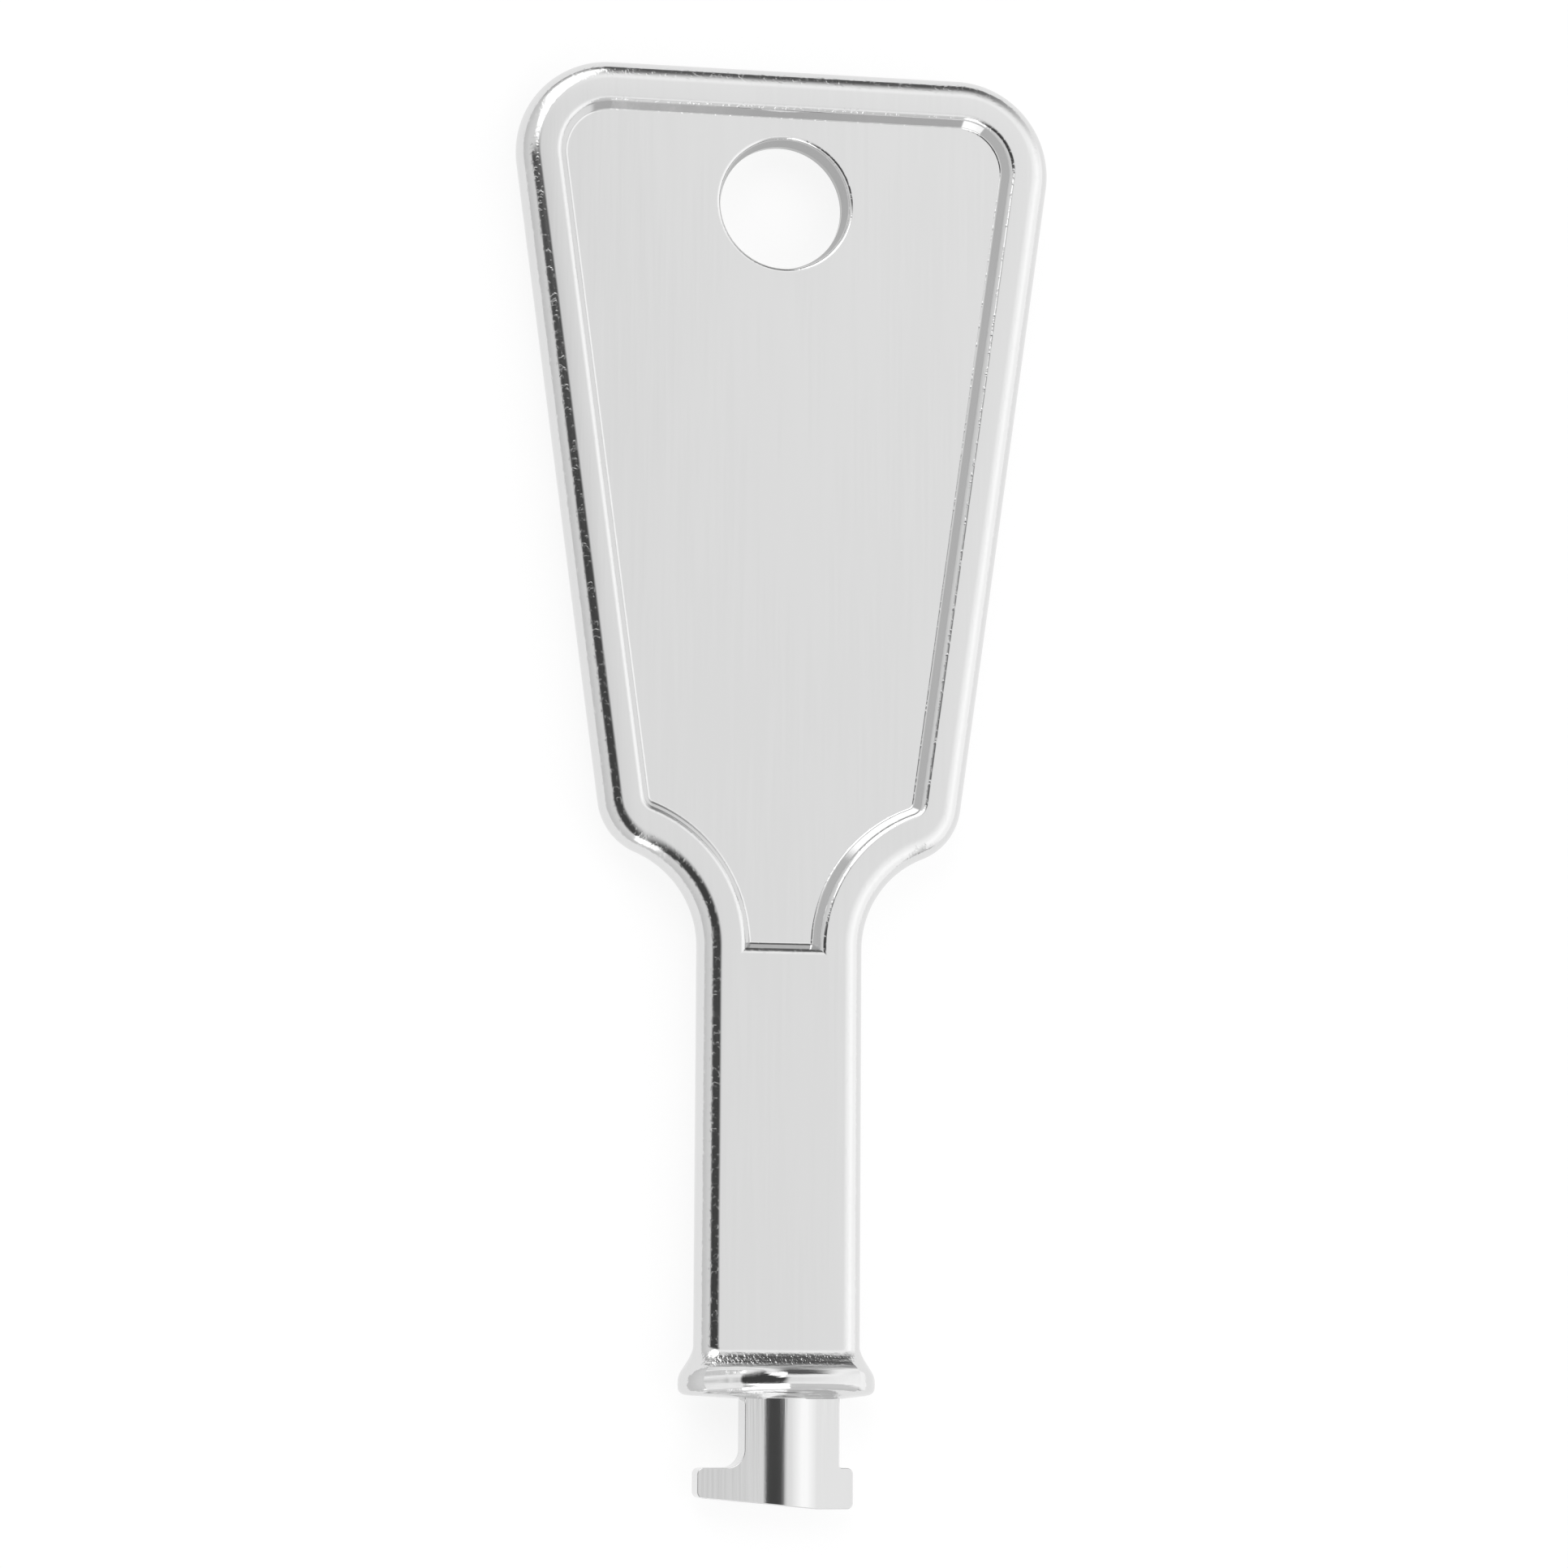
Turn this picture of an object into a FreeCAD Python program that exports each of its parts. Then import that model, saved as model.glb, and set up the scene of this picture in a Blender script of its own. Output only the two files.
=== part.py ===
"""Radiator bleed key: a flat die-cast handle with a hardened bit set in its end.

All sizes are in millimetres.  The key lies on its back with the recessed face up.
+Y runs from the bit to the bow, +X is to the right seen from above, +Z is up, and the
origin is on the table under the middle of the key.
"""
import FreeCAD, Part
import math
import os

Vector = FreeCAD.Vector

# Overall
overall_length = 70.0
plate_thickness = 2.25
plate_edge_radius = 1.09

# Bow: the wide head, whose sides draw in towards the shank
bow_half_width_at_middle = 9.13
bow_side_taper_deg = 7.88
bow_corner_radius = 4.6
shoulder_radius = 3.0

# Shank, and the hollow curve that joins it to the shoulders
shank_half_width = 4.05
shank_flare_radius = 4.85
shank_top_y = -8.2

# Recessed panel in the front face
rim_width = 2.05
recess_depth = 0.7
recess_wall_run = 0.36
recess_floor_fillet = 0.2
recess_shoulder_radius = 0.7
recess_flare_radius = 7.0
recess_end_y = -8.35

# Hanging hole
hole_mouth_radius = 3.36
hole_radius = 3.05
hole_draft_depth = 1.0
hole_y = 28.35
hole_edge_break = 0.17

# Collar at the end of the shank
collar_flare_start_y = -27.3
collar_flare_end_y = -28.85
collar_flare_step = 0.52
lip_half_width = 4.8
lip_half_depth = 1.875
lip_corner_radius = 1.25
lip_end_y = -29.68
lip_edge_radius = 0.3
boss_end_y = -30.05
boss_root_inset = 0.35
boss_half_width = 2.75
boss_half_depth = 1.4
boss_corner_radius = 0.5
sunk = 0.08

# Bit: a flat web with a low rounded ridge on each face and a wing on each side
bit_thickness = 1.7
web_left_x = -1.7
web_right_x = 2.95
ridge_x = 0.5
ridge_half_width = 1.27
ridge_height = 0.32
left_wing_x = -3.96
left_wing_top_y = -33.05
left_wing_end_y = -34.5
right_wing_x = 3.64
right_wing_top_y = -33.05
wing_corner_radius = 0.3
left_notch_fillet = 0.85
right_notch_fillet = 0.12

# Tang of the bit, locked in the casting
tang_x = 0.6
tang_half_width = 1.9
tang_thickness = 1.2
tang_length = 9.0
tang_notch_radius = 0.55
tang_notch_from_collar = 4.5

taper = math.radians(bow_side_taper_deg)
top_y = overall_length / 2
bit_end_y = -overall_length / 2
flare_centre = Vector(shank_half_width + shank_flare_radius, shank_top_y, 0)


def side_x(y, inset):
    """Half width of the bow at height y, drawn in square to the side by inset."""
    return bow_half_width_at_middle + y * math.tan(taper) - inset / math.cos(taper)


def polar(centre, radius, angle):
    return centre + Vector(radius * math.cos(angle), radius * math.sin(angle), 0)


def mirrored(point):
    return Vector(-point.x, point.y, point.z)


def shoulder_centre(inset, reach):
    """Point on the side line drawn in by inset, at distance reach from the flare's centre."""
    foot = Vector(side_x(flare_centre.y, inset), flare_centre.y, 0) - flare_centre
    along = Vector(math.sin(taper), math.cos(taper), 0)
    slide = foot.dot(along)
    distance = -slide + math.sqrt(slide ** 2 - foot.dot(foot) + reach ** 2)
    return flare_centre + foot + along * distance


def outline_side(inset, corner_radius, shoulder, flare_radius, flare_finish):
    """Right-hand side of the key's outline, inset from the outermost line.

    The points come in threes for the corner, the shoulder and the flare: start, middle, end.
    """
    corner_y = top_y - inset - corner_radius
    corner_centre = Vector(side_x(corner_y, inset + corner_radius), corner_y, 0)
    turn_centre = shoulder_centre(inset + shoulder, flare_radius + shoulder)
    to_turn = turn_centre - flare_centre
    flare_start = math.atan2(to_turn.y, to_turn.x)
    arcs = [
        (corner_centre, corner_radius, math.pi / 2, -taper),
        (turn_centre, shoulder, -taper, flare_start - math.pi),
        (flare_centre, flare_radius, flare_start, flare_finish),
    ]
    points = []
    for centre, radius, start, finish in arcs:
        for angle in (start, (start + finish) / 2, finish):
            points.append(polar(centre, radius, angle))
    return points


def closed_outline(side, z):
    """Wire round the key from its right-hand side, mirrored for the left."""
    right = [point + Vector(0, 0, z) for point in side]
    left = [mirrored(point) for point in right]
    edges = [Part.LineSegment(left[0], right[0]).toShape()]
    for half in (right, left):
        edges.append(Part.Arc(half[0], half[1], half[2]).toShape())
        edges.append(Part.LineSegment(half[2], half[3]).toShape())
        edges.append(Part.Arc(half[3], half[4], half[5]).toShape())
        edges.append(Part.Arc(half[6], half[7], half[8]).toShape())
        for start, end in zip(half[8:], half[9:]):
            edges.append(Part.LineSegment(start, end).toShape())
    edges.append(Part.LineSegment(right[-1], left[-1]).toShape())
    return Part.Wire(Part.__sortEdges__(edges))


def rounded_section(half_width, half_depth, radius, centre_x, y):
    """Rounded rectangle across the shank, in the plane at height y."""
    points = []
    for x_sign, z_sign, start in ((1, 1, 0), (-1, 1, 90), (-1, -1, 180), (1, -1, 270)):
        for angle in (start, start + 45, start + 90):
            turn = math.radians(angle)
            x = centre_x + x_sign * (half_width - radius) + radius * math.cos(turn)
            z = z_sign * (half_depth - radius) + radius * math.sin(turn)
            points.append(Vector(x, y, z))
    edges = []
    for corner in range(4):
        first = corner * 3
        edges.append(Part.Arc(*points[first:first + 3]).toShape())
        edges.append(Part.LineSegment(points[first + 2], points[(first + 3) % 12]).toShape())
    return Part.Wire(edges)


def plate():
    """Bow and shank in one thickness, with fully rounded edges."""
    half = plate_thickness / 2
    end_y = (collar_flare_end_y + lip_end_y) / 2
    side = outline_side(0, bow_corner_radius, shoulder_radius, shank_flare_radius, math.pi)
    side.append(Vector(shank_half_width, end_y, 0))
    body = Part.Face(closed_outline(side, -half)).extrude(Vector(0, 0, plate_thickness))
    rim_edges = []
    for edge in body.Edges:
        box = edge.BoundBox
        if box.ZLength < 1e-6 and box.YMax > end_y + 1e-6:
            rim_edges.append(edge)
    return body.makeFillet(plate_edge_radius, rim_edges)


def recess():
    """Solid that cuts the shallow panel: sloped walls and a filleted foot."""
    face_z = plate_thickness / 2
    floor_z = face_z - recess_depth
    neck_finish = math.pi + math.asin((shank_top_y - recess_end_y) / recess_flare_radius)
    mouth = outline_side(rim_width, bow_corner_radius - rim_width, recess_shoulder_radius,
                         recess_flare_radius, neck_finish)
    cutter = Part.Face(closed_outline(mouth, floor_z)).extrude(Vector(0, 0, plate_thickness))
    foot = [edge for edge in cutter.Edges if edge.BoundBox.ZMax < floor_z + 1e-4]
    cutter = cutter.makeChamfer(recess_depth, recess_wall_run, foot)
    foot = [edge for edge in cutter.Edges if edge.BoundBox.ZMax < floor_z + 1e-4]
    return cutter.makeFillet(recess_floor_fillet, foot)


def hanging_hole():
    """Round hole that narrows from the panel to a short bore, with its back edge broken."""
    back_z = -plate_thickness / 2
    floor_z = plate_thickness / 2 - recess_depth
    centre = Vector(0, hole_y, back_z)
    wall = Part.makeCylinder(hole_radius, floor_z - back_z, centre)
    back = Part.makeCone(hole_radius + hole_edge_break, hole_radius, hole_edge_break, centre)
    front = Part.makeCone(hole_radius, hole_mouth_radius, hole_draft_depth,
                          Vector(0, hole_y, floor_z - hole_draft_depth))
    return wall.fuse([back, front])


def collar():
    """Hollow flare, rounded lip and shallow boss under the lip, each sunk in the next."""
    steps = 5
    half = plate_thickness / 2
    flare_length = collar_flare_start_y - collar_flare_end_y
    sections = []
    for index in range(steps + 1):
        turn = math.pi / 2 * index / steps
        grow = (collar_flare_step + sunk) * (1 - math.cos(turn)) - sunk
        y = collar_flare_start_y - (flare_length + sunk) * math.sin(turn)
        sections.append(rounded_section(shank_half_width + grow, half + grow,
                                        plate_edge_radius - sunk, 0, y))
    flare = Part.makeLoft(sections, True, False)
    lip_face = Part.Face(rounded_section(lip_half_width, lip_half_depth, lip_corner_radius,
                                         0, collar_flare_end_y))
    lip = lip_face.extrude(Vector(0, lip_end_y - collar_flare_end_y, 0))
    around = [edge for edge in lip.Edges if edge.BoundBox.YLength < 1e-6]
    lip = lip.makeFillet(lip_edge_radius, around)
    root = rounded_section(lip_half_width - boss_root_inset, lip_half_depth - boss_root_inset,
                           lip_corner_radius - boss_root_inset, 0, lip_end_y + sunk)
    foot = rounded_section(boss_half_width, boss_half_depth, boss_corner_radius,
                           (web_left_x + web_right_x) / 2, boss_end_y)
    boss = Part.makeLoft([root, foot], True, True)
    return flare.fuse([lip, boss])


def tang():
    """Notched tail of the bit, from the boss up into the shank."""
    body = Part.makeBox(2 * tang_half_width, tang_length, tang_thickness,
                        Vector(tang_x - tang_half_width, boss_end_y, -tang_thickness / 2))
    notches = []
    for side in (-1, 1):
        centre = Vector(tang_x + side * tang_half_width, boss_end_y + tang_notch_from_collar,
                        -tang_thickness / 2)
        notches.append(Part.makeCylinder(tang_notch_radius, tang_thickness, centre))
    return body.cut(notches)


def bit_plate():
    """Web and wings in one thickness: a deep notch on the left, a shallow one on the right."""
    half = bit_thickness / 2
    corners = [
        (web_left_x, boss_end_y),
        (web_left_x, left_wing_top_y),
        (left_wing_x, left_wing_top_y),
        (left_wing_x, left_wing_end_y),
        (ridge_x - ridge_half_width, bit_end_y + 0.25),
        (ridge_x + ridge_half_width, bit_end_y),
        (right_wing_x, bit_end_y),
        (right_wing_x, right_wing_top_y),
        (web_right_x, right_wing_top_y),
        (web_right_x, boss_end_y),
    ]
    points = [Vector(x, y, -half) for x, y in corners]
    body = Part.Face(Part.makePolygon(points + points[:1])).extrude(Vector(0, 0, bit_thickness))
    rounds = {1: left_notch_fillet, 2: wing_corner_radius, 3: wing_corner_radius,
              6: wing_corner_radius, 7: wing_corner_radius, 8: right_notch_fillet}
    for index, radius in rounds.items():
        x, y = corners[index]
        upright = []
        for edge in body.Edges:
            box = edge.BoundBox
            if box.ZLength > half and abs(box.XMin - x) < 1e-4 and abs(box.YMin - y) < 1e-4:
                upright.append(edge)
        body = body.makeFillet(radius, upright)
    return body


def bit_ridge():
    """Low rounded rib that runs down both faces of the web."""
    half = bit_thickness / 2
    crest = half + ridge_height
    low = -ridge_half_width
    profile = [
        Part.Arc(Vector(low, 0, half), Vector(0, 0, crest), Vector(-low, 0, half)).toShape(),
        Part.LineSegment(Vector(-low, 0, half), Vector(-low, 0, -half)).toShape(),
        Part.Arc(Vector(-low, 0, -half), Vector(0, 0, -crest), Vector(low, 0, -half)).toShape(),
        Part.LineSegment(Vector(low, 0, -half), Vector(low, 0, half)).toShape(),
    ]
    face = Part.Face(Part.Wire(profile))
    face.translate(Vector(ridge_x, bit_end_y, 0))
    return face.extrude(Vector(0, boss_end_y - bit_end_y, 0))


def bit_insert():
    below_end = Part.makeBox(20, 1, 20, Vector(-10, bit_end_y - 1, -10))
    bit = bit_plate().fuse([bit_ridge(), tang()]).cut(below_end)
    return bit.removeSplitter()


def handle_casting():
    return plate().fuse(collar()).cut([recess(), hanging_hole(), tang()])


def write(shape, node):
    """Stand the piece on the table and write it out as one solid."""
    shape.translate(Vector(0, 0, lip_half_depth))
    solid = shape.Solids[0]
    solid.exportStep("parts/" + node + ".step")
    print(node, len(shape.Solids), "solid, valid", solid.isValid(), "volume", round(solid.Volume, 2))


os.makedirs("parts", exist_ok=True)
write(handle_casting(), "handle_casting")
write(bit_insert(), "bit_insert")
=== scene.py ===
"""Radiator bleed key in bright chrome, lying on a pale studio floor.

Shapes are drawn in millimetres round the key's own middle plane: +X right, +Y to the bow,
+Z up.  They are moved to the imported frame, in metres, when each mesh is made.
"""
import math

import bpy
from mathutils import Matrix, Vector
from mathutils.geometry import delaunay_2d_cdt


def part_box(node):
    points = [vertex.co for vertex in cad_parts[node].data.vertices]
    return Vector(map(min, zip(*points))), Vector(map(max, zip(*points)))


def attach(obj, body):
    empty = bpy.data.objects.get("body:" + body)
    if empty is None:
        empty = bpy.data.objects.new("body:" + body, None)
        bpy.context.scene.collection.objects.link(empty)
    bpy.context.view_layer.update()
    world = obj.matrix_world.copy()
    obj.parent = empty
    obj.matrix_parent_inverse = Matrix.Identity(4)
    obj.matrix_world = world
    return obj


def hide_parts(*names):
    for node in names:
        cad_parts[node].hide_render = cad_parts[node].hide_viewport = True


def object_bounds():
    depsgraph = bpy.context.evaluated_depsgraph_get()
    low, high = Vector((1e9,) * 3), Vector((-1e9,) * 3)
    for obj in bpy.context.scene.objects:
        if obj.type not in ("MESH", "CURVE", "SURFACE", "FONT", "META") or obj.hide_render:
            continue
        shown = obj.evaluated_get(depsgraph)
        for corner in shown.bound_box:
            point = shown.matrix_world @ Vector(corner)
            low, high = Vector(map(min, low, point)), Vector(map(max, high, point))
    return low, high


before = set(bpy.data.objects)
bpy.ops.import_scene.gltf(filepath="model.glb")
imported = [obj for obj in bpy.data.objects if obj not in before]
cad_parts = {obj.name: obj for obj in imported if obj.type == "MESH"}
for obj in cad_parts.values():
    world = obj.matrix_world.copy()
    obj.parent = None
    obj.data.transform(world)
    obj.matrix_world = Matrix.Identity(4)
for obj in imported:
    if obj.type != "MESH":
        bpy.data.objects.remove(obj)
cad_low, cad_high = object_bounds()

MM = 0.001
MICRON = 0.000001
quarter_turn = math.pi / 2
degrees_per_radian = 180 / math.pi

# How near two places are when they count as one, in millimetres or as decimals of one
joined_decimals = 5
same_x = 0.00001
face_margin = 0.001
fill_margin = 0.0000001

# Main sizes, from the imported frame
handle_low, handle_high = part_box("handle_casting")
middle_z = (handle_low.z + handle_high.z) / 2 / MM
top_y = handle_high.y / MM
lip_half_depth = (handle_high.z - handle_low.z) / 2 / MM
bit_end_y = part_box("bit_insert")[0].y / MM

# Plate: the flat body of the bow and shank, with round edges
plate_half = 1.125
edge_radius = 1.09
crown_tilt = math.radians(1.4)

# Outline of the bow and shank
bow_half_width = 9.13
taper = math.radians(7.88)
corner_radius = 4.6
shoulder_radius = 3.0
shank_half_width = 4.05
flare_radius = 4.85
shank_top_y = -8.2
collar_start_y = -27.35

# Recessed panel
rim_width = 2.05
recess_depth = 0.7
recess_wall_run = 0.36
recess_edge_radius = 0.36
recess_foot_radius = 0.14
recess_shoulder_radius = 0.7
recess_flare_radius = 7.0
recess_end_y = -8.35

# Hanging hole: a short bore that opens towards the panel
hole_y = 28.35
hole_mouth_radius = 3.42
hole_mouth_edge = 0.22
hole_radius = 3.05
hole_draft_depth = 1.0
hole_back_edge = 0.17

# Collar.  Each profile runs down the key as (y, growth, swell): growth goes from the
# shank's section to the flange's, and swell from the flange's to the swollen lip's.  The
# side's profile takes over from the front's with a power of the distance from the middle.
front_profile = [
    (-27.35, 0.0, 0.0), (-27.52, 0.02, 0.0), (-27.68, 0.13, 0.0), (-27.95, 0.49, 0.0),
    (-28.18, 0.8, 0.0), (-28.33, 0.95, 0.03), (-28.44, 0.99, 0.27), (-28.6, 1.0, 0.78),
    (-28.77, 1.0, 1.0), (-29.0, 0.985, 1.0), (-29.12, 0.91, 1.0), (-29.32, 0.73, 1.0),
    (-29.43, 0.48, 1.0), (-29.5, 0.2, 1.0),
]
side_profile = [
    (-27.35, 0.0, 0.0), (-27.5, 0.05, 0.0), (-27.7, 0.15, 0.0), (-27.95, 0.32, 0.0),
    (-28.2, 0.54, 0.0), (-28.45, 0.76, 0.1), (-28.65, 0.9, 0.3), (-28.85, 0.98, 0.6),
    (-29.05, 1.0, 0.9), (-29.2, 1.0, 1.0), (-29.35, 0.97, 1.0), (-29.48, 0.88, 1.0),
    (-29.58, 0.7, 1.0), (-29.64, 0.4, 1.0),
]
side_profile_power = 4
collar_half_width = 4.8
collar_corner_turn = math.radians(45)
flange_half_depth = 1.66
flange_crown_radius = 150
flange_shoulder_x = 3.75
lip_crest_x = 0.4
lip_left_x = -2.0
lip_left_break_x = -0.06
lip_right_x = 3.75
lip_shoulder_x = 3.8
lip_left_tilt = math.radians(-10.5)
lip_shoulder_tilt = math.radians(-3)
lip_right_tilt = math.radians(12)
boss_x = 0.625
boss_half_width = 2.75
boss_half_depth = 1.4
boss_end_y = -29.78

# Bit: a web with a ridge along it and a wing on each side
bit_half = 0.85
bit_edge = 0.05
bit_root_y = -29.7
web_left_x = -1.7
web_right_x = 2.95
left_wing_x = -3.96
left_wing_end_y = -34.5
right_wing_x = 3.64
wing_top_y = -33.05
wing_corner_radius = 0.3
left_notch_fillet = 0.85
right_notch_fillet = 0.12
end_rise = 0.25
ridge_left_x = -0.77
ridge_crest_x = 0.42
ridge_steep_x = 1.18
ridge_right_x = 1.83
ridge_left_tilt = math.radians(-28)
ridge_right_tilt = math.radians(24)
left_web_tilt = math.radians(-3)
right_web_tilt = math.radians(5)

# How finely each curve is drawn, in steps
corner_steps = 36
shoulder_steps = 24
flare_steps = 36
top_steps = 8
side_steps = 16
shank_steps = 30
neck_steps = 12
crown_steps = 6
front_edge_steps = 36
back_edge_steps = 22
small_edge_steps = 6
recess_foot_steps = 8
hole_steps = 96
flat_steps = 64
collar_face_steps = 120
collar_corner_steps = 40
lip_steps = 80
profile_steps = 4
boss_steps = 8
bit_fillet_steps = 14
bit_corner_steps = 8
bit_edge_steps = 5
ridge_steps = (10, 8, 6)


class Shell:
    """Faces that keep a normal for each corner, joined where their points meet."""

    def __init__(self):
        self.points = []
        self.found = {}
        self.faces = []
        self.normals = []

    def index(self, point):
        """Number of the point at this place, made when it is new."""
        key = tuple(round(value, joined_decimals) for value in point)
        if key not in self.found:
            self.found[key] = len(self.points)
            self.points.append(Vector(point))
        return self.found[key]

    def face(self, corners):
        """One face from (point, normal) pairs, turned to look along its normals."""
        kept = []
        for point, normal in corners:
            index = self.index(point)
            if index not in [old for old, _ in kept]:
                kept.append((index, normal))
        if len(kept) < 3:
            return
        area = Vector((0, 0, 0))
        facing = Vector((0, 0, 0))
        first = self.points[kept[0][0]]
        for (second, _), (third, _) in zip(kept[1:], kept[2:]):
            area += (self.points[second] - first).cross(self.points[third] - first)
        for _, normal in kept:
            facing += normal
        if area.dot(facing) < 0:
            kept.reverse()
        self.faces.append([index for index, _ in kept])
        self.normals.append([normal for _, normal in kept])

    def strip(self, first, second):
        """Quads between two rows of (point, normal) pairs of the same length."""
        for index in range(len(first) - 1):
            self.face([first[index], first[index + 1], second[index + 1], second[index]])

    def grid(self, rows):
        """Quads between each two rows that follow one another."""
        for first, second in zip(rows, rows[1:]):
            self.strip(first, second)

    def build(self, name, material):
        """The Blender object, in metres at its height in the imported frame."""
        mesh = bpy.data.meshes.new(name)
        lift = Vector((0, 0, middle_z))
        points = [(point + lift) * MM for point in self.points]
        mesh.from_pydata(points, [], self.faces)
        for polygon in mesh.polygons:
            polygon.use_smooth = True
        mesh.normals_split_custom_set([normal for face in self.normals for normal in face])
        mesh.materials.append(material)
        made = bpy.data.objects.new(name, mesh)
        bpy.context.scene.collection.objects.link(made)
        return made


# Drawing
def smooth_rows(rows):
    """Gives a grid of points the normals of the smooth surface through them."""
    made = []
    for row_index, row in enumerate(rows):
        before = rows[max(row_index - 1, 0)]
        after = rows[min(row_index + 1, len(rows) - 1)]
        pairs = []
        for index, point in enumerate(row):
            across = row[min(index + 1, len(row) - 1)] - row[max(index - 1, 0)]
            normal = (after[index] - before[index]).cross(across)
            pairs.append((point, normal.normalized()))
        made.append(pairs)
    return made


def inside(x, y, loop):
    """Whether a point is inside a closed loop, by crossings."""
    odd = False
    for (ax, ay), (bx, by) in zip(loop, loop[1:] + loop[:1]):
        if (ay > y) != (by > y) and x < ax + (y - ay) / (by - ay) * (bx - ax):
            odd = not odd
    return odd


def fill(shell, outer, holes, surface, lines=()):
    """Triangles over the area inside outer and outside holes, with edges along lines.

    surface(x, y, middle_x) gives the (point, normal) of the surface there, seen from a
    triangle whose middle is at middle_x.
    """
    points = []
    edges = []
    for loop in [outer] + list(holes):
        first = len(points)
        points += [Vector(place) for place in loop]
        for index in range(len(loop)):
            edges.append((first + index, first + (index + 1) % len(loop)))
    for ends in lines:
        edges.append((len(points), len(points) + 1))
        points += [Vector(place) for place in ends]
    corners, _, triangles, origins, _, _ = delaunay_2d_cdt(points, edges, [], 0, fill_margin)
    exact = []
    for corner, sources in zip(corners, origins):
        exact.append(points[sources[0]] if sources else corner)
    for triangle in triangles:
        places = [exact[index] for index in triangle]
        x = sum(place.x for place in places) / len(places)
        y = sum(place.y for place in places) / len(places)
        if inside(x, y, outer) and not any(inside(x, y, hole) for hole in holes):
            shell.face([surface(place.x, place.y, x) for place in places])


def flat(z, up):
    """Surface for fill: a level face at height z."""
    normal = Vector((0, 0, up))
    return lambda x, y, middle_x: (Vector((x, y, z)), normal)


def flat_places(row):
    """The (x, y) places of a row of (point, normal) pairs."""
    return [(point.x, point.y) for point, _ in row]


def spread(start, finish, count):
    """Count + 1 even values from start to finish."""
    return [start + (finish - start) * index / count for index in range(count + 1)]


def arc(centre, radius, start, finish, count, outward):
    """Points of an arc with their outward normals; a hollow arc has outward -1."""
    made = []
    for angle in spread(start, finish, count):
        turn = Vector((math.cos(angle), math.sin(angle)))
        made.append((centre + turn * radius, turn * outward))
    return made


def line(start, finish, count, normal):
    """Points of a straight run, with its outward normal."""
    return [(start.lerp(finish, part), normal) for part in spread(0, 1, count)]


def raised(place, normal, z, out, up):
    """A (point, normal) pair at height z, its normal leaning out and up."""
    lean = Vector((normal.x * out, normal.y * out, up)).normalized()
    return Vector((place.x, place.y, z)), lean


def mirror(side):
    """The left-hand copy of a right-hand run, in the opposite order."""
    made = []
    for place, normal in side[::-1]:
        made.append((Vector((-place.x, place.y)), Vector((-normal.x, normal.y))))
    return made


def path_lengths(path):
    """Length of a path up to each of its points."""
    reach = [0]
    for first, second in zip(path, path[1:]):
        reach.append(reach[-1] + (second - first).length)
    return reach


def resample(path, parts):
    """Points at the given parts of a path's length."""
    reach = path_lengths(path)
    made = []
    index = 0
    for part in parts:
        goal = part * reach[-1]
        while index < len(path) - 2 and reach[index + 1] < goal:
            index += 1
        gap = reach[index + 1] - reach[index]
        made.append(path[index].lerp(path[index + 1], (goal - reach[index]) / gap))
    return made


def eased(knots, count):
    """A Catmull-Rom curve through the knots, with count steps between each two."""
    made = []
    for index in range(len(knots) - 1):
        four = [knots[max(index - 1, 0)], knots[index], knots[index + 1],
                knots[min(index + 2, len(knots) - 1)]]
        for part in spread(0, 1, count)[:-1]:
            values = []
            for before, start, finish, after in zip(*four):
                bend = 2 * before - 5 * start + 4 * finish - after
                twist = 3 * (start - finish) + after - before
                slope = finish - before + part * (bend + part * twist)
                values.append(start + 0.5 * part * slope)
            made.append(values)
    made.append(list(knots[-1]))
    return made


# Outlines of the handle and its panel
flare_centre = Vector((shank_half_width + flare_radius, shank_top_y))
side_normal = Vector((math.cos(taper), -math.sin(taper)))


def side_x(y, inset):
    """Half width of the bow at height y, drawn in square to the side by inset."""
    return bow_half_width + y * math.tan(taper) - inset / math.cos(taper)


def shoulder_centre(inset, reach):
    """Point on the side line drawn in by inset, at distance reach from the flare's centre."""
    foot = Vector((side_x(flare_centre.y, inset), flare_centre.y)) - flare_centre
    along = Vector((math.sin(taper), math.cos(taper)))
    slide = foot.dot(along)
    distance = -slide + math.sqrt(slide ** 2 - foot.dot(foot) + reach ** 2)
    return flare_centre + foot + along * distance


def bow_side(inset, corner, shoulder, flare, flare_finish):
    """Right-hand side of the bow from its top middle to the end of the flare."""
    corner_y = top_y - inset - corner
    corner_centre = Vector((side_x(corner_y, inset + corner), corner_y))
    turn_centre = shoulder_centre(inset + shoulder, flare + shoulder)
    to_turn = turn_centre - flare_centre
    flare_start = math.atan2(to_turn.y, to_turn.x)
    round_corner = arc(corner_centre, corner, quarter_turn, -taper, corner_steps, 1)
    round_shoulder = arc(turn_centre, shoulder, -taper, flare_start - math.pi,
                         shoulder_steps, 1)
    hollow = arc(flare_centre, flare, flare_start, flare_finish, flare_steps, -1)
    top = line(Vector((0, top_y - inset)), round_corner[0][0], top_steps, Vector((0, 1)))
    side = line(round_corner[-1][0], round_shoulder[0][0], side_steps, side_normal)
    return top + round_corner[1:] + side[1:] + round_shoulder[1:] + hollow[1:]


def shank_side(x, start_y):
    """Right-hand side of the shank, down to the collar."""
    return line(Vector((x, start_y)), Vector((x, collar_start_y)), shank_steps, Vector((1, 0)))


def handle_outline():
    """The whole outline, from the left end of the shank round the bow to the right end."""
    side = bow_side(0, corner_radius, shoulder_radius, flare_radius, math.pi)
    side += shank_side(shank_half_width, shank_top_y)[1:]
    return mirror(side) + side[1:]


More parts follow.
